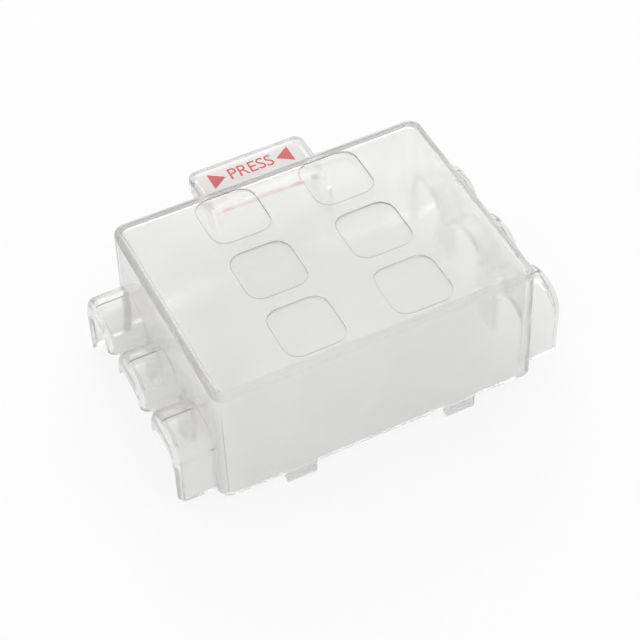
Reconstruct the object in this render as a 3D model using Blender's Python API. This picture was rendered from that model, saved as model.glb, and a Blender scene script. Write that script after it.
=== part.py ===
"""Clear clip-on cover of a six-circuit blade fuse block.

A one-piece moulded box, open underneath: a roof with six shallow label pads,
four walls, three wire hoods along each side, two toes under the front wall,
and a spring latch at the back with a finger pad. A printed label lies under
the finger pad and is read through it.

Frame: X along the long front, Y from front to back, Z up. The origin is the
middle of the footprint, level with the lowest point, so the cover stands on Z = 0.
"""

import math

import bpy
import bmesh
from mathutils import Matrix, Vector

# Box
BOX_WIDTH = 0.0668
BOX_DEPTH = 0.0488
WALL_HEIGHT = 0.0287
WALL = 0.0014
WALL_SPREAD = 0.0004
ROOF = 0.0014
CORNER_RADIUS = 0.0026
ROOF_EDGE_RADIUS = 0.0013
INNER_FILLET = 0.0006

# Label pads in the roof
PAD_SIDE = 0.01255
PAD_RADIUS = 0.00315
PAD_DEPTH = 0.0004
PAD_COLUMN_PITCH = 0.0223

# Circuits, which set the pitch of the label pads and of the wire hoods
CIRCUIT_ROWS = 3
CIRCUIT_PITCH = 0.0159

# Wire hoods
HOOD_REACH = 0.0079
HOOD_WIDTH = 0.0132
HOOD_TOP_BELOW_ROOF = 0.0125
HOOD_FLAT = 0.0020
HOOD_EDGE_RADIUS = 0.0018
HOOD_WALL = 0.0013
HOOD_SHIFT_Y = 0.0005
MOUTH_MARGIN = 0.0016
MOUTH_DROP = 0.0041
WEB_BITE = 0.00065
WEB_TOP_BELOW_SHOULDER = 0.0002
WEB_BOTTOM_BELOW_ROOF = 0.0195
GAP_BITE = 0.0001

# Toes under the front wall
TOE_WIDTH = 0.0072
TOE_SPACING = 0.0346
TOE_DROP = 0.0030
TOE_SETBACK = 0.0003
TOE_BACK_INSET = 0.0001
TOE_LIP_REACH = 0.0003
TOE_LIP_HEIGHT = 0.0015
TOE_LIP_FACE = 0.0010
TOE_TAPER = 0.0006

# Latch at the back: a finger pad on a tongue of the back wall
LATCH_WIDTH = 0.0255
LATCH_REACH = 0.0114
LATCH_TOP_BELOW_ROOF = 0.0052
LATCH_PLATE = 0.00165
LATCH_RIM = 0.0011
LATCH_RIM_DEPTH = 0.0032
LATCH_RIM_ROUND = 0.0006
LATCH_CORNER_RADIUS = 0.0020
RIB_REACH = 0.0092
RIB_INSET = 0.0002
RIB_FOOT_BELOW_PAD = 0.0125
TONGUE_SLOT = 0.0009
TONGUE_ROOT_BELOW_PAD = 0.0048
BARB_WIDTH = 0.0180
BARB_REACH = 0.0012
BARB_HEIGHT = 0.0030
BARB_FACE = 0.0012

# Printed label under the finger pad
LABEL_DEPTH = 0.0060
LABEL_SIDE_MARGIN = 0.0005
LABEL_THICKNESS = 0.0002
LABEL_CLEARANCE = 0.0003
LABEL_BACK_MARGIN = 0.0003

OVERLAP = 0.0010
ARC_STEPS = 10
EDGE_STEPS = 5
FILLET_STEPS = 3

# Heights and places that follow from the sizes above
WALL_BOTTOM_Z = TOE_DROP
ROOF_TOP_Z = WALL_BOTTOM_Z + WALL_HEIGHT
HOOD_TOP_Z = ROOF_TOP_Z - HOOD_TOP_BELOW_ROOF
HOOD_SHOULDER_RADIUS = (HOOD_WIDTH - HOOD_FLAT) / 2
MOUTH_WIDTH = HOOD_WIDTH - 2 * MOUTH_MARGIN
MOUTH_RADIUS = (MOUTH_WIDTH - HOOD_FLAT) / 2
WEB_WIDTH = CIRCUIT_PITCH - HOOD_WIDTH + 2 * WEB_BITE
MOUTH_TOP_Z = HOOD_TOP_Z - MOUTH_DROP
WEB_BOTTOM_Z = ROOF_TOP_Z - WEB_BOTTOM_BELOW_ROOF
LATCH_TOP_Z = ROOF_TOP_Z - LATCH_TOP_BELOW_ROOF
LATCH_UNDER_Z = LATCH_TOP_Z - LATCH_PLATE
SIDE_X = BOX_WIDTH / 2
MIDDLE_Y = (WALL_SPREAD - LATCH_REACH) / 2
FRONT_Y = MIDDLE_Y - BOX_DEPTH / 2
BACK_Y = MIDDLE_Y + BOX_DEPTH / 2
FRONT_RIM_Y = FRONT_Y - WALL_SPREAD
BACK_RIM_Y = BACK_Y + WALL_SPREAD
HOOD_END_X = SIDE_X + HOOD_REACH
LATCH_END_Y = BACK_Y + LATCH_REACH


def clear_scene():
    for item in list(bpy.data.objects):
        bpy.data.objects.remove(item, do_unlink=True)


def new_collection(name):
    group = bpy.data.collections.new(name)
    bpy.context.scene.collection.children.link(group)
    return group


def finish_material(name, colour, roughness, transmission=0.0):
    material = bpy.data.materials.new(name)
    material.use_nodes = True
    shader = material.node_tree.nodes["Principled BSDF"]
    shader.inputs["Base Color"].default_value = (*colour, 1.0)
    shader.inputs["Roughness"].default_value = roughness
    shader.inputs["Metallic"].default_value = 0.0
    shader.inputs["Transmission Weight"].default_value = transmission
    return material


def add_object(name, bm, group):
    mesh = bpy.data.meshes.new(name)
    bmesh.ops.recalc_face_normals(bm, faces=bm.faces)
    bm.to_mesh(mesh)
    bm.free()
    item = bpy.data.objects.new(name, mesh)
    group.objects.link(item)
    return item


def box_between(low, high):
    """A box from its lowest corner to its highest corner."""
    bm = bmesh.new()
    low, high = Vector(low), Vector(high)
    size = high - low
    place = Matrix.Translation((low + high) / 2) @ Matrix.Diagonal((*size, 1.0))
    bmesh.ops.create_cube(bm, size=1.0, matrix=place)
    return bm


def round_edges(bm, radius, chosen, steps=ARC_STEPS):
    edges = [edge for edge in bm.edges if chosen(edge)]
    bmesh.ops.bevel(bm, geom=edges, offset=radius, segments=steps, profile=0.5, affect="EDGES")


def runs_along(axis):
    """Picks the edges that lie along one axis."""
    def chosen(edge):
        step = edge.verts[1].co - edge.verts[0].co
        return abs(step[axis]) > 0.999 * step.length
    return chosen


def level_at(height):
    """Picks the edges that lie flat at one height."""
    def chosen(edge):
        return all(abs(vert.co.z - height) < 1e-6 for vert in edge.verts)
    return chosen


def arc(centre, radius, start, end, steps=ARC_STEPS):
    """Points along an arc, with angles in degrees."""
    points = []
    for index in range(steps + 1):
        angle = math.radians(start + (end - start) * index / steps)
        points.append((centre[0] + radius * math.cos(angle), centre[1] + radius * math.sin(angle)))
    return points


def arch_outline(centre_y, width, top_z, bottom_z, radius):
    """A doorway outline in the YZ plane: straight legs and two round shoulders."""
    half = width / 2
    spring = top_z - radius
    outline = [(centre_y + half, bottom_z)]
    outline += arc((centre_y + half - radius, spring), radius, 0, 90)
    outline += arc((centre_y - half + radius, spring), radius, 90, 180)
    outline.append((centre_y - half, bottom_z))
    return outline


def prism_along_x(outline, x_from, x_to):
    """An outline in the YZ plane, carried along X."""
    bm = bmesh.new()
    ring = [bm.verts.new((x_from, y, z)) for y, z in outline]
    face = bm.faces.new(ring)
    moved = bmesh.ops.extrude_face_region(bm, geom=[face])
    top = [item for item in moved["geom"] if isinstance(item, bmesh.types.BMVert)]
    bmesh.ops.translate(bm, verts=top, vec=(x_to - x_from, 0, 0))
    return bm


def combine(target, other, operation):
    modifier = target.modifiers.new(f"{operation.lower()} {other.name}", "BOOLEAN")
    modifier.operation = operation
    modifier.solver = "EXACT"
    modifier.object = other


def as_cutter(item):
    item.hide_render = True
    item.display_type = "WIRE"
    return item


def circuit_rows(shift):
    """The Y of each circuit, from the front to the back."""
    middle = (CIRCUIT_ROWS - 1) / 2
    return [MIDDLE_Y + shift + (row - middle) * CIRCUIT_PITCH for row in range(CIRCUIT_ROWS)]


def spread_walls(bm):
    """Leans the four walls outwards towards their lower rim, so the box leaves its mould."""
    for vert in bm.verts:
        spread = WALL_SPREAD * (ROOF_TOP_Z - vert.co.z) / WALL_HEIGHT
        vert.co.x += math.copysign(spread, vert.co.x)
        vert.co.y += math.copysign(spread, vert.co.y - MIDDLE_Y)


def cover_shell(group):
    """The box's outside, with round corners, a softened roof edge and leaning walls."""
    bm = box_between((-SIDE_X, FRONT_Y, WALL_BOTTOM_Z), (SIDE_X, BACK_Y, ROOF_TOP_Z))
    round_edges(bm, CORNER_RADIUS, runs_along(2))
    round_edges(bm, ROOF_EDGE_RADIUS, level_at(ROOF_TOP_Z), EDGE_STEPS)
    spread_walls(bm)
    return add_object("cover", bm, group)


def cavity(group):
    """The inside of the box, open underneath."""
    low = (-SIDE_X + WALL, FRONT_Y + WALL, WALL_BOTTOM_Z - OVERLAP)
    high = (SIDE_X - WALL, BACK_Y - WALL, ROOF_TOP_Z - ROOF)
    bm = box_between(low, high)
    round_edges(bm, max(CORNER_RADIUS - WALL, 0.0) + INNER_FILLET, runs_along(2), EDGE_STEPS)
    round_edges(bm, INNER_FILLET, level_at(ROOF_TOP_Z - ROOF), FILLET_STEPS)
    spread_walls(bm)
    return as_cutter(add_object("cavity", bm, group))


def hood_skin(side, group):
    """Three round-shouldered hoods and the webs between them, before they are hollowed."""
    inner_x = side * (SIDE_X - WALL / 2)
    outer_x = side * HOOD_END_X
    rows = circuit_rows(HOOD_SHIFT_Y)
    hoods = []
    for number, row in enumerate(rows, start=1):
        outline = arch_outline(row, HOOD_WIDTH, HOOD_TOP_Z, WALL_BOTTOM_Z, HOOD_SHOULDER_RADIUS)
        bm = prism_along_x(outline, inner_x, outer_x)

        def outer_rim(edge, limit=outer_x):
            ends = [vert.co for vert in edge.verts]
            flat = all(abs(end.x - limit) < 1e-6 for end in ends)
            return flat and max(end.z for end in ends) > WALL_BOTTOM_Z + 1e-6

        round_edges(bm, HOOD_EDGE_RADIUS, outer_rim, EDGE_STEPS)
        name = f"hood_{'left' if side < 0 else 'right'}_{number}"
        hoods.append(as_cutter(add_object(name, bm, group)))
    for number, (front, back) in enumerate(zip(rows, rows[1:]), start=1):
        middle = (front + back) / 2
        end_x = side * (HOOD_END_X - HOOD_EDGE_RADIUS)
        top = HOOD_TOP_Z - HOOD_SHOULDER_RADIUS - WEB_TOP_BELOW_SHOULDER
        low = (min(inner_x, end_x), middle - WEB_WIDTH / 2, WEB_BOTTOM_Z - OVERLAP)
        high = (max(inner_x, end_x), middle + WEB_WIDTH / 2, top)
        name = f"web_{'left' if side < 0 else 'right'}_{number}"
        hoods.append(as_cutter(add_object(name, box_between(low, high), group)))
    return hoods


def hood_hollows(side, group):
    """The wire tunnels, their mouths, and the low gaps under the webs."""
    hollows = []
    label = "left" if side < 0 else "right"
    start = side * (SIDE_X - WALL - OVERLAP)
    below = WALL_BOTTOM_Z - OVERLAP
    rows = circuit_rows(HOOD_SHIFT_Y)
    for number, row in enumerate(rows, start=1):
        width = HOOD_WIDTH - 2 * HOOD_WALL
        tunnel = arch_outline(row, width, HOOD_TOP_Z - HOOD_WALL, below, HOOD_SHOULDER_RADIUS - HOOD_WALL)
        bm = prism_along_x(tunnel, start, side * (HOOD_END_X - HOOD_WALL))
        hollows.append(as_cutter(add_object(f"tunnel_{label}_{number}", bm, group)))
        mouth = arch_outline(row, MOUTH_WIDTH, MOUTH_TOP_Z, below, MOUTH_RADIUS)
        bm = prism_along_x(mouth, side * (HOOD_END_X - HOOD_WALL - OVERLAP), side * (HOOD_END_X + OVERLAP))
        hollows.append(as_cutter(add_object(f"mouth_{label}_{number}", bm, group)))
    for number, (front, back) in enumerate(zip(rows, rows[1:]), start=1):
        near = side * (SIDE_X - GAP_BITE)
        far = side * (HOOD_END_X + OVERLAP)
        low = (min(near, far), front, below)
        high = (max(near, far), back, WEB_BOTTOM_Z)
        bm = box_between(low, high)
        for vert in bm.verts:
            vert.co.x += side * WALL_SPREAD * (ROOF_TOP_Z - vert.co.z) / WALL_HEIGHT
        hollows.append(as_cutter(add_object(f"skirt_gap_{label}_{number}", bm, group)))
    return hollows


def label_pads(group):
    """Six shallow rounded squares sunk into the roof."""
    pads = []
    for column in (-1, 1):
        for number, row in enumerate(circuit_rows(0.0), start=1):
            x = column * PAD_COLUMN_PITCH / 2
            half = PAD_SIDE / 2
            low = (x - half, row - half, ROOF_TOP_Z - PAD_DEPTH)
            high = (x + half, row + half, ROOF_TOP_Z + OVERLAP)
            bm = box_between(low, high)
            round_edges(bm, PAD_RADIUS, runs_along(2))
            name = f"label_pad_{'left' if column < 0 else 'right'}_{number}"
            pads.append(as_cutter(add_object(name, bm, group)))
    return pads


def front_toes(group):
    """Two toes that drop below the front wall, with a small lip forwards and tapered ends."""
    toes = []
    front = FRONT_RIM_Y + TOE_SETBACK
    back = FRONT_RIM_Y + WALL - TOE_BACK_INSET
    outline = [
        (back, WALL_BOTTOM_Z + OVERLAP),
        (front, WALL_BOTTOM_Z + OVERLAP),
        (front, TOE_LIP_HEIGHT),
        (front - TOE_LIP_REACH, TOE_LIP_FACE),
        (front - TOE_LIP_REACH, 0.0),
        (back, 0.0),
    ]
    for side in (-1, 1):
        middle = side * TOE_SPACING / 2
        bm = prism_along_x(outline, middle - TOE_WIDTH / 2, middle + TOE_WIDTH / 2)
        for vert in bm.verts:
            sunk = max(0.0, 1.0 - vert.co.z / WALL_BOTTOM_Z)
            vert.co.x -= math.copysign(TOE_TAPER * sunk, vert.co.x - middle)
        toes.append(as_cutter(add_object(f"toe_{'left' if side < 0 else 'right'}", bm, group)))
    return toes


def latch_pad(group):
    """The finger pad: a thin plate off the back wall, before its underside is sunk."""
    half = LATCH_WIDTH / 2
    low = (-half, BACK_Y - WALL / 2, LATCH_TOP_Z - LATCH_RIM_DEPTH)
    high = (half, LATCH_END_Y, LATCH_TOP_Z)
    bm = box_between(low, high)

    def back_corners(edge):
        return runs_along(2)(edge) and edge.verts[0].co.y > BACK_Y

    def top_rim(edge):
        return level_at(LATCH_TOP_Z)(edge) and max(vert.co.y for vert in edge.verts) > BACK_Y + OVERLAP

    round_edges(bm, LATCH_CORNER_RADIUS, back_corners)
    round_edges(bm, LATCH_RIM_ROUND, top_rim, EDGE_STEPS)
    return as_cutter(add_object("latch_pad", bm, group))


def latch_pocket(group):
    """The sunk underside of the finger pad, inside its rim."""
    half = LATCH_WIDTH / 2 - LATCH_RIM
    low = (-half, BACK_Y, LATCH_TOP_Z - LATCH_RIM_DEPTH - OVERLAP)
    high = (half, LATCH_END_Y - LATCH_RIM, LATCH_UNDER_Z)
    bm = box_between(low, high)

    def back_corners(edge):
        return runs_along(2)(edge) and edge.verts[0].co.y > BACK_Y + OVERLAP

    round_edges(bm, max(LATCH_CORNER_RADIUS - LATCH_RIM, INNER_FILLET), back_corners, EDGE_STEPS)
    return as_cutter(add_object("latch_pocket", bm, group))


def latch_ribs(group):
    """A rib under each end of the finger pad, sloping down to the tongue."""
    root = BACK_Y - WALL / 2
    tip = BACK_Y + RIB_REACH
    foot = LATCH_TOP_Z - RIB_FOOT_BELOW_PAD
    outline = [
        (root, LATCH_TOP_Z - LATCH_PLATE / 2),
        (root, foot),
        (BACK_Y, foot),
        (tip, LATCH_TOP_Z - LATCH_RIM_DEPTH),
        (tip, LATCH_TOP_Z - LATCH_PLATE / 2),
    ]
    ribs = []
    for side in (-1, 1):
        outer = side * (LATCH_WIDTH / 2 - RIB_INSET)
        bm = prism_along_x(outline, outer - side * LATCH_RIM, outer)
        ribs.append(as_cutter(add_object(f"latch_rib_{'left' if side < 0 else 'right'}", bm, group)))
    return ribs


def tongue_slots(group):
    """Two slots that free the tongue of the back wall from its sides."""
    slots = []
    for side in (-1, 1):
        near = side * LATCH_WIDTH / 2
        far = side * (LATCH_WIDTH / 2 + TONGUE_SLOT)
        low = (min(near, far), BACK_Y - WALL - OVERLAP, WALL_BOTTOM_Z - OVERLAP)
        high = (max(near, far), BACK_RIM_Y + OVERLAP, LATCH_TOP_Z - TONGUE_ROOT_BELOW_PAD)
        bm = box_between(low, high)
        slots.append(as_cutter(add_object(f"slot_{'left' if side < 0 else 'right'}", bm, group)))
    return slots


def tongue_barb(group):
    """The barb at the tongue's foot, which catches the base."""
    outline = [
        (BACK_RIM_Y - WALL / 2, WALL_BOTTOM_Z),
        (BACK_RIM_Y, WALL_BOTTOM_Z),
        (BACK_RIM_Y + BARB_REACH, WALL_BOTTOM_Z + BARB_HEIGHT - BARB_FACE),
        (BACK_RIM_Y + BARB_REACH, WALL_BOTTOM_Z + BARB_HEIGHT),
        (BACK_RIM_Y - WALL / 2, WALL_BOTTOM_Z + BARB_HEIGHT),
    ]
    return as_cutter(add_object("tongue_barb", prism_along_x(outline, -BARB_WIDTH / 2, BARB_WIDTH / 2), group))


def latch_label(group):
    """The printed label, just under the finger pad's plate."""
    half = LATCH_WIDTH / 2 - LATCH_RIM - LABEL_SIDE_MARGIN
    back = LATCH_END_Y - LATCH_RIM - LABEL_BACK_MARGIN
    top = LATCH_UNDER_Z - LABEL_CLEARANCE
    low = (-half, back - LABEL_DEPTH, top - LABEL_THICKNESS)
    high = (half, back, top)
    return add_object("latch_label", box_between(low, high), group)


def main():
    clear_scene()
    parts = new_collection("blade fuse block cover")
    cutters = new_collection("cutters")
    clear_plastic = finish_material("clear polycarbonate", (0.93, 0.94, 0.93), 0.06, 1.0)
    printed_film = finish_material("printed label film", (0.9, 0.9, 0.88), 0.45)

    cover = cover_shell(parts)
    cover.data.materials.append(clear_plastic)
    joined = [*hood_skin(-1, cutters), *hood_skin(1, cutters)]
    joined += [*front_toes(cutters), latch_pad(cutters)]
    for item in joined:
        combine(cover, item, "UNION")
    cuts = [cavity(cutters), *hood_hollows(-1, cutters), *hood_hollows(1, cutters)]
    cuts += [*label_pads(cutters), latch_pocket(cutters)]
    for item in cuts:
        combine(cover, item, "DIFFERENCE")
    for item in [*latch_ribs(cutters), tongue_barb(cutters)]:
        combine(cover, item, "UNION")
    for item in tongue_slots(cutters):
        combine(cover, item, "DIFFERENCE")

    label = latch_label(parts)
    label.data.materials.append(printed_film)


main()
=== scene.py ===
import math

import bpy
import numpy as np
from mathutils import Matrix


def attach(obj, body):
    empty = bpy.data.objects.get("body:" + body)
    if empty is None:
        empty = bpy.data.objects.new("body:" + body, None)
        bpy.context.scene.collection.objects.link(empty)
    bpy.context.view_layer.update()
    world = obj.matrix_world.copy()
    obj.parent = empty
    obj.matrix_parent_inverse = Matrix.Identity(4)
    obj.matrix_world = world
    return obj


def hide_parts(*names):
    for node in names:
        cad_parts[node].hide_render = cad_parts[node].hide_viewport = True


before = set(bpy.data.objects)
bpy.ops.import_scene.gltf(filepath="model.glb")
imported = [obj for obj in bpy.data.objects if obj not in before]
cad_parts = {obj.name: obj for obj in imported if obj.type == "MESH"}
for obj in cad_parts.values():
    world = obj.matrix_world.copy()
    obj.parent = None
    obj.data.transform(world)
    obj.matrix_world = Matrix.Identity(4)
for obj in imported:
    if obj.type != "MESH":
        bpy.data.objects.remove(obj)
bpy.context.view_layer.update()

print("frame loaded:", sorted(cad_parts))

# Camera, at the photograph's viewing angle. Lengths are in metres and angles in degrees here and below,
# but the lens and the sensor are in millimetres
photoCamera = {
    "place": (-0.110587, -0.238178, 0.304351),
    "turn": -25.254,
    "tilt": 48.679,
    "roll": -1.839,
    "lens": 111.19,
    "sensor": 36.0,
    "clipStart": 0.01,
    "clipEnd": 20.0,
}


def addCamera(values):
    data = bpy.data.cameras.new("photoCamera")
    data.lens = values["lens"]
    data.sensor_width = values["sensor"]
    data.clip_start = values["clipStart"]
    data.clip_end = values["clipEnd"]
    camera = bpy.data.objects.new("photoCamera", data)
    bpy.context.scene.collection.objects.link(camera)
    turn = Matrix.Rotation(math.radians(values["turn"]), 4, "Z")
    tilt = Matrix.Rotation(math.radians(90.0 - values["tilt"]), 4, "X")
    roll = Matrix.Rotation(math.radians(values["roll"]), 4, "Z")
    camera.matrix_world = Matrix.Translation(values["place"]) @ turn @ tilt @ roll
    bpy.context.scene.camera = camera


addCamera(photoCamera)
bpy.context.scene.view_settings.view_transform = "Standard"
print("camera placed")

# Room: a pale floor that touches the two front toes and the back rim, a soft dome and one soft lamp
room = {
    "floorSize": 4.0,
    "floorColour": (0.97, 0.97, 0.97),
    "whiteShare": 0.8,  # how white the camera sees the floor
    "throughShare": 0.42,  # how white reflections and the clear plastic show it
    "backRim": 0.0193,
    "rimHeight": 0.0030,
    "toeFront": -0.0302,
    "domeStrength": 0.85,
    "lampPower": 3.5,
    "lampPlace": (0.35, 0.85, 0.75),
    "lampSize": 0.9,
}


def makeMesh(name, points, faces):
    mesh = bpy.data.meshes.new(name)
    mesh.from_pydata([tuple(point) for point in points], [], [tuple(face) for face in faces])
    mesh.update()
    piece = bpy.data.objects.new(name, mesh)
    bpy.context.scene.collection.objects.link(piece)
    return piece


def newMaterial(name):
    material = bpy.data.materials.new(name)
    material.use_nodes = True
    material.node_tree.nodes.clear()
    return material, material.node_tree.nodes, material.node_tree.links


def addNode(nodes, kind, place, **settings):
    node = nodes.new(kind)
    node.location = place
    for key, value in settings.items():
        setattr(node, key, value)
    return node


def connect(tree, value, socket):
    if isinstance(value, (int, float)):
        socket.default_value = value
    else:
        tree.links.new(value, socket)


def calculate(tree, operation, *values, clamp=False):
    node = tree.nodes.new("ShaderNodeMath")
    node.operation = operation
    node.use_clamp = clamp
    for value, socket in zip(values, node.inputs):
        connect(tree, value, socket)
    return node.outputs[0]


def rise(tree, value, fromMin, fromMax, toMin=0.0, toMax=1.0):
    # Smooth step: toMin up to where the value is fromMin, and toMax from where it is fromMax
    node = tree.nodes.new("ShaderNodeMapRange")
    node.interpolation_type = "SMOOTHSTEP"
    labels = ("Value", "From Min", "From Max", "To Min", "To Max")
    for label, number in zip(labels, (value, fromMin, fromMax, toMin, toMax)):
        connect(tree, number, node.inputs[label])
    return node.outputs["Result"]


def fall(tree, value, near, far):
    # The same from one down to nothing
    return rise(tree, value, near, far, 1.0, 0.0)


def newGroup(name, inputs, outputs):
    group = bpy.data.node_groups.new(name, "ShaderNodeTree")
    for kind, listed in (("INPUT", inputs), ("OUTPUT", outputs)):
        for label, socketType in listed:
            group.interface.new_socket(name=label, in_out=kind, socket_type="NodeSocket" + socketType)
    start = addNode(group.nodes, "NodeGroupInput", (-800, 0))
    end = addNode(group.nodes, "NodeGroupOutput", (800, 0))
    return group, start.outputs, end.inputs


def seenDirectly(tree, cameraShare, throughShare):
    # How far a ray sees plain white: one share from the camera, the other in a reflection or through the plastic
    path = tree.nodes.new("ShaderNodeLightPath")
    camera = calculate(tree, "MULTIPLY", path.outputs["Is Camera Ray"], cameraShare)
    through = calculate(tree, "ADD", path.outputs["Is Glossy Ray"], path.outputs["Is Transmission Ray"], clamp=True)
    return calculate(tree, "ADD", camera, calculate(tree, "MULTIPLY", through, throughShare), clamp=True)


def addFloor(values):
    # A square whose height grows evenly with y: nothing at the toes, the rim's height at the back rim
    slope = values["rimHeight"] / (values["backRim"] - values["toeFront"])
    half = values["floorSize"] / 2
    corners = np.array([(-half, -half), (half, -half), (half, half), (-half, half)])
    heights = slope * (corners[:, 1] - values["toeFront"])
    floor = makeMesh("floor", np.column_stack([corners, heights]), [(0, 1, 2, 3)])
    material, nodes, links = newMaterial("pale floor")
    output = addNode(nodes, "ShaderNodeOutputMaterial", (900, 0))
    shader = addNode(nodes, "ShaderNodeBsdfDiffuse", (300, 0))
    shader.inputs["Color"].default_value = (*values["floorColour"], 1.0)
    white = addNode(nodes, "ShaderNodeEmission", (300, -200))
    white.inputs["Strength"].default_value = 1.0
    share = seenDirectly(material.node_tree, values["whiteShare"], values["throughShare"])
    mix = addNode(nodes, "ShaderNodeMixShader", (500, 0))
    links.new(share, mix.inputs["Fac"])
    links.new(shader.outputs[0], mix.inputs[1])
    links.new(white.outputs[0], mix.inputs[2])
    # From below the camera looks through the floor, so that the underside can be seen
    side = addNode(nodes, "ShaderNodeNewGeometry", (300, 300))
    path = addNode(nodes, "ShaderNodeLightPath", (300, 500))
    fromBelow = calculate(material.node_tree, "MULTIPLY", side.outputs["Backfacing"], path.outputs["Is Camera Ray"])
    clear = addNode(nodes, "ShaderNodeBsdfTransparent", (500, -200))
    through = addNode(nodes, "ShaderNodeMixShader", (700, 0))
    links.new(fromBelow, through.inputs["Fac"])
    links.new(mix.outputs[0], through.inputs[1])
    links.new(clear.outputs[0], through.inputs[2])
    links.new(through.outputs[0], output.inputs["Surface"])
    floor.data.materials.append(material)


def addLight(values):
    # The dome is white where it is seen, and lights the object at its own strength
    world = bpy.data.worlds.new("soft dome")
    bpy.context.scene.world = world
    world.use_nodes = True
    nodes, links = world.node_tree.nodes, world.node_tree.links
    nodes.clear()
    output = addNode(nodes, "ShaderNodeOutputWorld", (900, 0))
    background = addNode(nodes, "ShaderNodeBackground", (700, 0))
    background.inputs["Color"].default_value = (1.0, 1.0, 1.0, 1.0)
    strength = addNode(nodes, "ShaderNodeMapRange", (500, -100))
    strength.inputs["To Min"].default_value = values["domeStrength"]
    strength.inputs["To Max"].default_value = 1.0
    links.new(seenDirectly(world.node_tree, 1.0, 1.0), strength.inputs["Value"])
    links.new(strength.outputs["Result"], background.inputs["Strength"])
    links.new(background.outputs[0], output.inputs["Surface"])
    lamp = bpy.data.lights.new("softBox", "AREA")
    lamp.shape = "SQUARE"
    lamp.size = values["lampSize"]
    lamp.energy = values["lampPower"]
    holder = bpy.data.objects.new("softBox", lamp)
    bpy.context.scene.collection.objects.link(holder)
    place = Matrix.Translation(values["lampPlace"])
    aim = (-place.translation).to_track_quat("-Z", "Y").to_matrix().to_4x4()
    holder.matrix_world = place @ aim


addFloor(room)
addLight(room)
print("room built")

# Mould finish, shared by the plastic and the print: slow clouds, tiny flecks and a faint wavy height
finishPattern = {
    "cloudDetail": 3.0,
    "cloudWarp": 0.8,
    "cloudRange": (0.3, 0.7),
    "fleckDetail": 2.0,
    "fleckBorder": 0.05,
    "rippleDetail": 1.0,
    "ripplesPerCloud": 3.0,
}


def mouldFinishGroup(values):
    group, given, out = newGroup(
        "mould finish",
        [("Vector", "Vector"), ("Cloud Scale", "Float"), ("Fleck Scale", "Float"), ("Fleck Share", "Float")],
        [("Cloud", "Float"), ("Fleck", "Float"), ("Height", "Float")])
    cloud = addNode(group.nodes, "ShaderNodeTexNoise", (-400, 300))
    cloud.inputs["Detail"].default_value = values["cloudDetail"]
    cloud.inputs["Distortion"].default_value = values["cloudWarp"]
    fleck = addNode(group.nodes, "ShaderNodeTexNoise", (-400, 0))
    fleck.inputs["Detail"].default_value = values["fleckDetail"]
    ripple = addNode(group.nodes, "ShaderNodeTexNoise", (-400, -300))
    ripple.inputs["Detail"].default_value = values["rippleDetail"]
    for node in (cloud, fleck, ripple):
        group.links.new(given["Vector"], node.inputs["Vector"])
    rippleScale = calculate(group, "MULTIPLY", given["Cloud Scale"], values["ripplesPerCloud"])
    group.links.new(given["Cloud Scale"], cloud.inputs["Scale"])
    group.links.new(given["Fleck Scale"], fleck.inputs["Scale"])
    group.links.new(rippleScale, ripple.inputs["Scale"])
    level = calculate(group, "SUBTRACT", 1.0, given["Fleck Share"])
    upper = calculate(group, "ADD", level, values["fleckBorder"])
    group.links.new(rise(group, cloud.outputs[0], *values["cloudRange"]), out["Cloud"])
    group.links.new(rise(group, fleck.outputs[0], level, upper), out["Fleck"])
    group.links.new(ripple.outputs[0], out["Height"])
    return group


mouldFinish = mouldFinishGroup(finishPattern)


def addFinish(nodes, links, place, shader, values):
    # Puts the mould finish into a material, with its height on the shader's normal
    finish = addNode(nodes, "ShaderNodeGroup", (-600, 200), node_tree=mouldFinish)
    finish.inputs["Cloud Scale"].default_value = values["cloudScale"]
    finish.inputs["Fleck Scale"].default_value = values["fleckScale"]
    finish.inputs["Fleck Share"].default_value = values["fleckShare"]
    links.new(place, finish.inputs["Vector"])
    bump = addNode(nodes, "ShaderNodeBump", (300, -300))
    bump.inputs["Distance"].default_value = values["waveHeight"]
    links.new(finish.outputs["Height"], bump.inputs["Height"])
    links.new(bump.outputs["Normal"], shader.inputs["Normal"])
    return finish.outputs


def mixColours(tree, factor, first, second):
    mix = tree.nodes.new("ShaderNodeMix")
    mix.data_type = "RGBA"
    tree.links.new(factor, mix.inputs[0])
    for value, socket in ((first, mix.inputs[6]), (second, mix.inputs[7])):  # the two colour sockets
        if isinstance(value, tuple):
            socket.default_value = (*value, 1.0)
        else:
            tree.links.new(value, socket)
    return mix.outputs[2]


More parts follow.
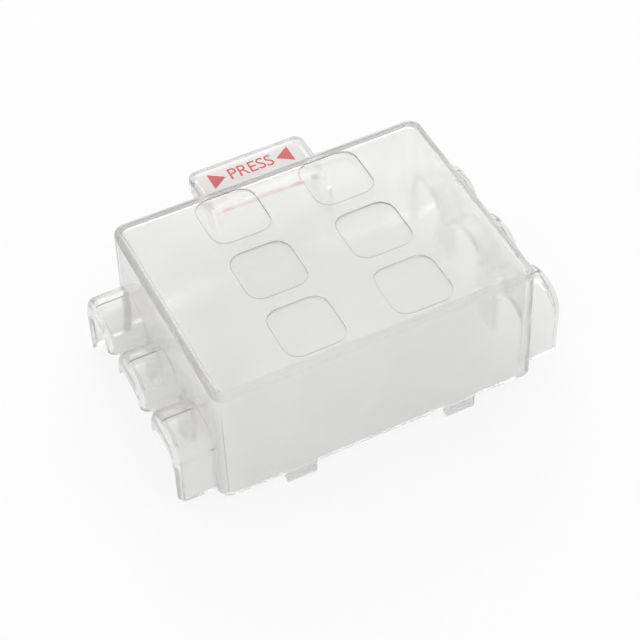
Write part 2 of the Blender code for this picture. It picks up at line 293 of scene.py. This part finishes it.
# Clear cover: the CAD moulding itself, merged and smooth-shaded, in clear polycarbonate.
# Its faces are a little hazy, its edges and hoods are polished, its finger pad is fully clear, and shade is painted
# on it in bands and lines.
clearCover = {
    "ior": 1.585,
    "clearShare": 0.91,
    "fingerClearShare": 1.0,
    "fingerStart": 0.0195,  # just behind the back wall
    "sharpAngle": 32.0,
    "mergeDistance": 0.00001,
    "guidedAfter": 3.5,  # glossy bounces
    "guidedColour": (0.21, 0.21, 0.205),
    # Tints: the plastic's own, then painted shade on the roof top, down the front corners and their borders, round
    # the finger pad's rim and on the hood, pad and edge lines
    "tint": (0.975, 0.97, 0.965),
    "cloudTint": (0.955, 0.955, 0.945),
    "roofPaintedShade": (0.91, 0.91, 0.90),
    "cornerPaintedShade": (0.86, 0.855, 0.86),
    "cornerLinePaintedShade": (0.55, 0.54, 0.55),
    "rimPaintedShade": (0.68, 0.68, 0.695),
    "hoodLinePaintedShade": (0.10, 0.10, 0.10),
    "padLinePaintedShade": (0.84, 0.82, 0.80),
    "edgeLinePaintedShade": (0.45, 0.44, 0.44),
    # Roughness
    "edgeRoughness": 0.15,
    "faceRoughness": 0.195,
    "polishedRoughness": 0.10,
    "hoodRoughness": 0.12,
    "fingerRoughness": 0.05,
    "roundRoughness": 0.3,
    "leftRoughness": 0.6,
    "lineRoughness": 0.6,
    "cloudRoughness": 0.04,
    "fleckRoughness": 0.12,
    # Mould finish
    "cloudScale": 90.0,
    "fleckScale": 1400.0,
    "fleckShare": 0.26,
    "waveHeight": 0.00002,
    # Measures of the moulding, as the CAD has them
    "halfWidth": 0.0334,
    "halfDepth": 0.0244,
    "middleY": -0.0055,
    "roof": 0.0317,
    "edgeRound": 0.0013,
    "cornerRound": 0.0026,
    "padX": 0.01115,
    "padPitch": 0.0159,
    "padSide": 0.01255,
    "padRadius": 0.00315,
    "hoodShift": 0.0005,
    "hoodFlat": 0.0020,
    "hoodTop": 0.0192,
    "fingerHalf": 0.01275,
    "fingerBack": 0.0303,
    "fingerRadius": 0.0020,
    # Where each mask begins and ends
    "faceFade": (0.0012, 0.0060),
    "wallFade": (0.0006, 0.0014),
    "topFade": (0.0006, 0.0009),
    "flatFade": (0.0014, 0.0018),
    "roundFade": (0.0001, 0.0004),
    "roundDepth": 0.0004,
    "leftFade": (-0.0016, -0.0010),
    "polishFade": (0.010, 0.026),
    "polishBack": 1.4,
    "cornerBand": 0.0010,
    "cornerFade": 0.0002,
    "cornerDepth": 0.012,
    "rimFade": (-0.0014, -0.0010),
    "rimSides": (0.0095, 0.0118),
    "rimBackShare": 0.3,
    "lineFade": (0.00004, 0.00011),
    "crispFade": (0.4, 0.9),
    "frontFade": (0.0025, 0.0060),
    "hoodLineFade": (0.00010, 0.00020),
    "hoodTopFade": (0.0002, 0.0005),
}


def outlineDistance(tree, u, v, halfU, halfV, radius):
    # Distance to a rounded rectangle: the length of what lies past its straight core, less the corner radius
    squares = []
    for value, core in ((u, halfU - radius), (v, halfV - radius)):
        past = calculate(tree, "SUBTRACT", calculate(tree, "ABSOLUTE", value), core)
        past = calculate(tree, "MAXIMUM", past, 0.0)
        squares.append(calculate(tree, "MULTIPLY", past, past))
    length = calculate(tree, "SQRT", calculate(tree, "ADD", *squares))
    return calculate(tree, "SUBTRACT", length, radius)


def placesGroup(values):
    # Masks that tell one part of the moulding from another, worked out from the place on it
    group, given, out = newGroup(
        "places on the cover", [("Vector", "Vector")],
        [(label, "Float") for label in (
            "Face", "Hood", "Finger", "Roof", "Round", "Polished", "Corner", "Rim",
            "Pad Line", "Edge Line", "Corner Line", "Left Round", "Hood Line")])
    split = addNode(group.nodes, "ShaderNodeSeparateXYZ", (-600, 0))
    group.links.new(given["Vector"], split.inputs[0])
    x, y, z = split.outputs
    halfWidth, halfDepth = values["halfWidth"], values["halfDepth"]
    edgeRound, cornerRound = values["edgeRound"], values["cornerRound"]

    # How far a place is past the side planes and past the end planes, and how far from the roof plane
    along = calculate(group, "SUBTRACT", y, values["middleY"])
    sideways = calculate(group, "SUBTRACT", calculate(group, "ABSOLUTE", x), halfWidth)
    endways = calculate(group, "SUBTRACT", calculate(group, "ABSOLUTE", along), halfDepth)
    toRoof = calculate(group, "ABSOLUTE", calculate(group, "SUBTRACT", z, values["roof"]))

    # Face: grows with the middle one of the distances to the three planes, which is small only near an edge
    toSide = calculate(group, "ABSOLUTE", sideways)
    toEnd = calculate(group, "ABSOLUTE", endways)
    nearer = calculate(group, "MINIMUM", calculate(group, "MAXIMUM", toSide, toEnd), toRoof)
    median = calculate(group, "MAXIMUM", calculate(group, "MINIMUM", toSide, toEnd), nearer)
    within = fall(group, calculate(group, "MAXIMUM", sideways, endways), *values["wallFade"])
    face = calculate(group, "MULTIPLY", rise(group, median, *values["faceFade"]), within)

    # Hood and Finger: what lies past the side planes, and past the back plane
    hood = rise(group, sideways, *values["wallFade"])
    finger = rise(group, calculate(group, "SUBTRACT", along, halfDepth), *values["wallFade"])

    # Polished: grows towards the right side and towards the back
    polished = calculate(group, "MAXIMUM", x, calculate(group, "MULTIPLY", along, values["polishBack"]))
    polished = rise(group, polished, *values["polishFade"])

    # Corner: past both borders of a band down a front corner, painted darker as shade. Corner Line: those borders
    # themselves, painted as darker shade lines
    pastSide = calculate(group, "ADD", sideways, values["cornerBand"])
    pastFront = calculate(group, "SUBTRACT", cornerRound - halfDepth, along)
    pastBoth = calculate(group, "MINIMUM", pastSide, pastFront)
    below = calculate(group, "MULTIPLY", rise(group, toRoof, edgeRound, values["cornerDepth"]), within)
    corner = calculate(group, "MULTIPLY", rise(group, pastBoth, 0.0, values["cornerFade"]), below)
    cornerLine = fall(group, calculate(group, "ABSOLUTE", pastBoth), *values["lineFade"])
    cornerLine = calculate(group, "MULTIPLY", cornerLine, below)

    # Rim: painted shade in a band along the finger pad's outline, where the plate is thick, and less of it at the
    # back
    fingerEdge = outlineDistance(group, x, y, values["fingerHalf"], values["fingerBack"], values["fingerRadius"])
    sideShare = rise(group, calculate(group, "ABSOLUTE", x), *values["rimSides"], values["rimBackShare"])
    rim = calculate(group, "MULTIPLY", rise(group, fingerEdge, *values["rimFade"]), sideShare)
    rim = calculate(group, "MULTIPLY", rim, finger)

    # Hood Line: a painted dark shade line where the flat top of each hood turns into its back shoulder
    halfPitch = values["padPitch"] / 2
    hoodRows = calculate(group, "SUBTRACT", along, values["hoodShift"])
    hoodRows = calculate(group, "WRAP", hoodRows, halfPitch, -halfPitch)
    hoodLine = calculate(group, "ABSOLUTE", calculate(group, "SUBTRACT", hoodRows, values["hoodFlat"] / 2))
    hoodLine = fall(group, hoodLine, *values["hoodLineFade"])
    onHood = calculate(group, "ABSOLUTE", calculate(group, "SUBTRACT", z, values["hoodTop"]))
    onHood = calculate(group, "MULTIPLY", fall(group, onHood, *values["hoodTopFade"]), hood)
    hoodLine = calculate(group, "MULTIPLY", hoodLine, onHood)

    # Pad Line: a rougher line round each label pad, painted darker as shade, where the pads all lie at one pitch in
    # two columns
    onTop = fall(group, toRoof, *values["topFade"])
    across = calculate(group, "SUBTRACT", calculate(group, "ABSOLUTE", x), values["padX"])
    rows = calculate(group, "WRAP", along, halfPitch, -halfPitch)
    halfPad = values["padSide"] / 2
    padEdge = outlineDistance(group, across, rows, halfPad, halfPad, values["padRadius"])
    padLine = fall(group, calculate(group, "ABSOLUTE", padEdge), *values["lineFade"])
    padLine = calculate(group, "MULTIPLY", padLine, onTop)

    # Edge Line: painted shade lines on the upper and the lower border of the roof's rounded edge. They are crisp
    # along the back and the right, and fade towards the front and the left
    roofEdge = outlineDistance(
        group, x, along, halfWidth - edgeRound, halfDepth - edgeRound, cornerRound - edgeRound)
    beyond = rise(group, roofEdge, *values["roundFade"])
    upperLine = fall(group, calculate(group, "ABSOLUTE", roofEdge), *values["lineFade"])
    upperLine = calculate(group, "MULTIPLY", upperLine, onTop)
    lowerLine = calculate(group, "ABSOLUTE", calculate(group, "SUBTRACT", toRoof, edgeRound))
    lowerLine = calculate(group, "MULTIPLY", fall(group, lowerLine, *values["lineFade"]), beyond)
    towardsRight = calculate(group, "DIVIDE", x, halfWidth)
    towardsBack = calculate(group, "DIVIDE", along, halfDepth)
    crisp = rise(group, calculate(group, "MAXIMUM", towardsRight, towardsBack), *values["crispFade"])
    frontStart, frontEnd = values["frontFade"]
    pastFrontEdge = rise(group, along, frontStart - halfDepth, frontEnd - halfDepth)
    edgeLine = calculate(group, "MULTIPLY", calculate(group, "MAXIMUM", upperLine, lowerLine),
                         calculate(group, "MULTIPLY", crisp, pastFrontEdge))

    # Round and Left Round: the rounded edge, and the left side of it. Roof: the flat top within it, which is
    # painted darker as shade
    rounded = fall(group, toRoof, edgeRound, edgeRound + values["roundDepth"])
    rounded = calculate(group, "MULTIPLY", beyond, rounded)
    leftSide = rise(group, sideways, *values["leftFade"])
    leftSide = calculate(group, "MULTIPLY", leftSide, calculate(group, "LESS_THAN", x, 0.0))
    leftRound = calculate(group, "MULTIPLY", rounded, leftSide)
    roof = fall(group, toRoof, *values["flatFade"])
    roof = calculate(group, "MULTIPLY", roof, calculate(group, "SUBTRACT", 1.0, beyond))

    for label, mask in (("Face", face), ("Hood", hood), ("Finger", finger), ("Roof", roof), ("Round", rounded),
                        ("Polished", polished), ("Corner", corner), ("Rim", rim), ("Pad Line", padLine),
                        ("Edge Line", edgeLine), ("Corner Line", cornerLine), ("Left Round", leftRound),
                        ("Hood Line", hoodLine)):
        group.links.new(mask, out[label])
    return group


def mergeAndSmoothGroup(values, fingerMaterial):
    # Merges the CAD's loose triangles, shades them smooth except over edges sharper than the angle, and
    # gives everything behind the back wall the finger pad's plastic
    group = bpy.data.node_groups.new("merge and smooth by angle", "GeometryNodeTree")
    group.interface.new_socket(name="Geometry", in_out="INPUT", socket_type="NodeSocketGeometry")
    group.interface.new_socket(name="Geometry", in_out="OUTPUT", socket_type="NodeSocketGeometry")
    nodes, links = group.nodes, group.links
    start = addNode(nodes, "NodeGroupInput", (-600, 0))
    merge = addNode(nodes, "GeometryNodeMergeByDistance", (-400, 0))
    merge.inputs["Distance"].default_value = values["mergeDistance"]
    smooth = addNode(nodes, "GeometryNodeSetShadeSmooth", (-200, 0), domain="FACE")
    smooth.inputs["Shade Smooth"].default_value = True
    edgeAngle = addNode(nodes, "GeometryNodeInputMeshEdgeAngle", (-200, -200))
    isSharp = addNode(nodes, "FunctionNodeCompare", (0, -200), operation="GREATER_THAN")
    isSharp.inputs["B"].default_value = math.radians(values["sharpAngle"])
    sharp = addNode(nodes, "GeometryNodeSetShadeSmooth", (200, 0), domain="EDGE")
    sharp.inputs["Shade Smooth"].default_value = False
    place = addNode(nodes, "GeometryNodeInputPosition", (200, -300))
    split = addNode(nodes, "ShaderNodeSeparateXYZ", (400, -300))
    isFinger = addNode(nodes, "FunctionNodeCompare", (600, -300), operation="GREATER_THAN")
    isFinger.inputs["B"].default_value = values["fingerStart"]
    finger = addNode(nodes, "GeometryNodeSetMaterial", (800, 0))
    finger.inputs["Material"].default_value = fingerMaterial
    end = addNode(nodes, "NodeGroupOutput", (1000, 0))
    links.new(start.outputs[0], merge.inputs["Geometry"])
    links.new(merge.outputs["Geometry"], smooth.inputs["Geometry"])
    links.new(smooth.outputs["Geometry"], sharp.inputs["Geometry"])
    links.new(edgeAngle.outputs["Unsigned Angle"], isSharp.inputs["A"])
    links.new(isSharp.outputs["Result"], sharp.inputs["Selection"])
    links.new(sharp.outputs["Geometry"], finger.inputs["Geometry"])
    links.new(place.outputs["Position"], split.inputs[0])
    links.new(split.outputs["Y"], isFinger.inputs["A"])
    links.new(isFinger.outputs["Result"], finger.inputs["Selection"])
    links.new(finger.outputs["Geometry"], end.inputs[0])
    return group


coverPlaces = placesGroup(clearCover)


def clearPlastic(name, values, clearShare):
    material, nodes, links = newMaterial(name)
    tree = material.node_tree
    output = addNode(nodes, "ShaderNodeOutputMaterial", (900, 0))
    shader = addNode(nodes, "ShaderNodeBsdfPrincipled", (600, 0))
    shader.inputs["IOR"].default_value = values["ior"]
    shader.inputs["Transmission Weight"].default_value = clearShare
    place = addNode(nodes, "ShaderNodeTexCoord", (-900, 0)).outputs["Object"]
    finish = addFinish(nodes, links, place, shader, values)
    places = addNode(nodes, "ShaderNodeGroup", (-600, -200), node_tree=coverPlaces)
    links.new(place, places.inputs["Vector"])
    # A face is rougher than an edge, in clouds, and less so where it is polished
    edge, face, rounded = values["edgeRoughness"], values["faceRoughness"], values["roundRoughness"]
    rough = calculate(tree, "MULTIPLY", finish["Cloud"], values["cloudRoughness"])
    rough = calculate(tree, "ADD", rough, face - edge)
    rough = calculate(tree, "MULTIPLY_ADD", places.outputs["Polished"], values["polishedRoughness"] - face, rough)
    rough = calculate(tree, "MULTIPLY", rough, places.outputs["Face"])
    rough = calculate(tree, "ADD", rough, edge)
    for label, extra in (("Hood", values["hoodRoughness"] - edge), ("Finger", values["fingerRoughness"] - edge),
                         ("Round", rounded - edge), ("Left Round", values["leftRoughness"] - rounded),
                         ("Pad Line", values["lineRoughness"]), ("Edge Line", values["lineRoughness"])):
        rough = calculate(tree, "MULTIPLY_ADD", places.outputs[label], extra, rough)
    rough = calculate(tree, "MULTIPLY_ADD", finish["Fleck"], values["fleckRoughness"], rough)
    links.new(rough, shader.inputs["Roughness"])
    colour = mixColours(tree, finish["Cloud"], values["tint"], values["cloudTint"])
    # Painted shade: darker colours on the roof top, the front corners and their borders, the finger pad's rim and
    # the hood, pad and edge lines
    for label, tint in (("Roof", "roofPaintedShade"), ("Corner", "cornerPaintedShade"), ("Corner Line", "cornerLinePaintedShade"),
                        ("Rim", "rimPaintedShade"), ("Hood Line", "hoodLinePaintedShade"), ("Pad Line", "padLinePaintedShade"),
                        ("Edge Line", "edgeLinePaintedShade")):
        colour = mixColours(tree, places.outputs[label], colour, values[tint])
    links.new(colour, shader.inputs["Base Color"])
    # Light that runs along inside a wall is cut off after a few reflections. Its last one gives
    # the shade that it would have met at the rim, so that edges don't turn black
    path = addNode(nodes, "ShaderNodeLightPath", (0, -600))
    guided = calculate(tree, "GREATER_THAN", path.outputs["Glossy Depth"], values["guidedAfter"])
    glow = mixColours(tree, guided, (0.0, 0.0, 0.0), values["guidedColour"])
    links.new(glow, shader.inputs["Emission Color"])
    shader.inputs["Emission Strength"].default_value = 1.0
    links.new(shader.outputs[0], output.inputs["Surface"])
    return material


def dressCover(values):
    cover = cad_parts["cover"]
    cover.data.materials.clear()
    cover.data.materials.append(clearPlastic("clear polycarbonate", values, values["clearShare"]))
    fingerMaterial = clearPlastic("polished polycarbonate", values, values["fingerClearShare"])
    smoothing = cover.modifiers.new("merge and smooth", "NODES")
    smoothing.node_group = mergeAndSmoothGroup(values, fingerMaterial)


dressCover(clearCover)
print("cover dressed")

# Label film under the finger pad, with a painted glow that lightens it, and the legend printed on it
latchLabel = {
    "low": (-0.01115, 0.0229),
    "high": (0.01115, 0.0289),
    "plateUnder": 0.02485,
    "sink": 0.00002,
    "thickness": 0.00010,
    "inkThickness": 0.00001,
    "filmColour": (0.97, 0.97, 0.965),
    "filmShade": (0.93, 0.93, 0.92),
    # painted light: a faint glow that stands in for light the film lacks under the plate
    "filmPaintedGlow": 0.13,
    "inkColour": (0.95, 0.0, 0.0),
    "inkShade": (0.84, 0.0, 0.0),
    "printRoughness": 0.4,
    "fleckRoughness": 0.15,
    "cloudScale": 700.0,
    "fleckScale": 4000.0,
    "fleckShare": 0.4,
    "waveHeight": 0.000005,
    "word": "PRESS",
    "wordWidth": 0.0096,
    "capHeight": 0.0031,
    "boldness": 0.008,
    "letterDepth": 0.01,  # before the letters are brought to size, as boldness is
    "wordY": 0.0266,
    "arrowY": 0.0264,
    "arrowBase": 0.0044,
    "arrowReach": 0.0033,
    "arrowX": 0.00888,
}


def slab(name, outline, bottom, top):
    # An outline carried straight up: its points at the bottom height and again at the top height,
    # a face at each end and one for each of its sides
    outline = np.asarray(outline)
    count = len(outline)
    low = np.column_stack([outline, np.full(count, bottom)])
    high = np.column_stack([outline, np.full(count, top)])
    ring = np.arange(count)
    after = np.roll(ring, -1)
    sides = np.column_stack([ring, after, after + count, ring + count])
    faces = [list(ring[::-1]), list(ring + count), *sides.tolist()]
    return makeMesh(name, np.vstack([low, high]), faces)


def printMaterial(name, colour, shade, values, glow=0.0):
    material, nodes, links = newMaterial(name)
    tree = material.node_tree
    output = addNode(nodes, "ShaderNodeOutputMaterial", (900, 0))
    shader = addNode(nodes, "ShaderNodeBsdfPrincipled", (600, 0))
    place = addNode(nodes, "ShaderNodeTexCoord", (-900, 0)).outputs["Object"]
    finish = addFinish(nodes, links, place, shader, values)
    links.new(mixColours(tree, finish["Cloud"], colour, shade), shader.inputs["Base Color"])
    rough = calculate(tree, "MULTIPLY_ADD", finish["Fleck"], values["fleckRoughness"], values["printRoughness"])
    links.new(rough, shader.inputs["Roughness"])
    # Painted light: a white glow at the given strength, which lightens the film
    shader.inputs["Emission Color"].default_value = (1.0, 1.0, 1.0, 1.0)
    shader.inputs["Emission Strength"].default_value = glow
    links.new(shader.outputs[0], output.inputs["Surface"])
    return material


def printedPiece(piece, material):
    piece.data.materials.append(material)
    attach(piece, "root")
    return piece


def addArrow(name, side, values, bottom, top, ink):
    # A triangle beside the word, with its upright base outwards and its tip towards the word
    x = side * values["arrowX"]
    tip = x - side * values["arrowReach"]
    half = values["arrowBase"] / 2
    outline = [(x, values["arrowY"] - half), (x, values["arrowY"] + half), (tip, values["arrowY"])]
    if side < 0:
        outline = outline[::-1]
    printedPiece(slab(name, outline, bottom, top), ink)


def addWord(values, middleHeight, ink):
    # The letters as a mesh, centred, stretched to the word's width and cap height, and moved to their place
    text = bpy.data.curves.new("wordCurve", "FONT")
    text.body = values["word"]
    text.align_x = "CENTER"
    text.align_y = "CENTER"
    text.extrude = values["letterDepth"]
    text.offset = values["boldness"]
    holder = bpy.data.objects.new("wordCurve", text)
    bpy.context.scene.collection.objects.link(holder)
    bpy.context.view_layer.update()
    mesh = bpy.data.meshes.new_from_object(holder.evaluated_get(bpy.context.evaluated_depsgraph_get()))
    bpy.data.objects.remove(holder)
    points = np.empty(len(mesh.vertices) * 3, dtype=np.float32)
    mesh.vertices.foreach_get("co", points)
    points = points.reshape(-1, 3)
    low, high = points.min(0), points.max(0)
    size = np.array([values["wordWidth"], values["capHeight"], 2 * values["inkThickness"]])
    points = (points - (low + high) / 2) * (size / (high - low)) + np.array([0.0, values["wordY"], middleHeight])
    mesh.vertices.foreach_set("co", points.astype(np.float32).ravel())
    mesh.update()
    mesh.name = "legendWord"
    word = bpy.data.objects.new("legendWord", mesh)
    bpy.context.scene.collection.objects.link(word)
    word.data.materials.clear()
    printedPiece(word, ink)


def addLabel(values):
    top = values["plateUnder"] + values["sink"]
    inkThickness = values["inkThickness"]
    (x0, y0), (x1, y1) = values["low"], values["high"]
    film = slab("labelFilm", [(x0, y0), (x1, y0), (x1, y1), (x0, y1)], top - values["thickness"], top)
    printedPiece(film, printMaterial(
        "label film", values["filmColour"], values["filmShade"], values, values["filmPaintedGlow"]))
    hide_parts("latch_label")
    ink = printMaterial("red ink", values["inkColour"], values["inkShade"], values)
    addArrow("arrowLeft", -1, values, top - inkThickness, top + inkThickness, ink)
    addArrow("arrowRight", 1, values, top - inkThickness, top + inkThickness, ink)
    addWord(values, top, ink)


addLabel(latchLabel)
print("label added")
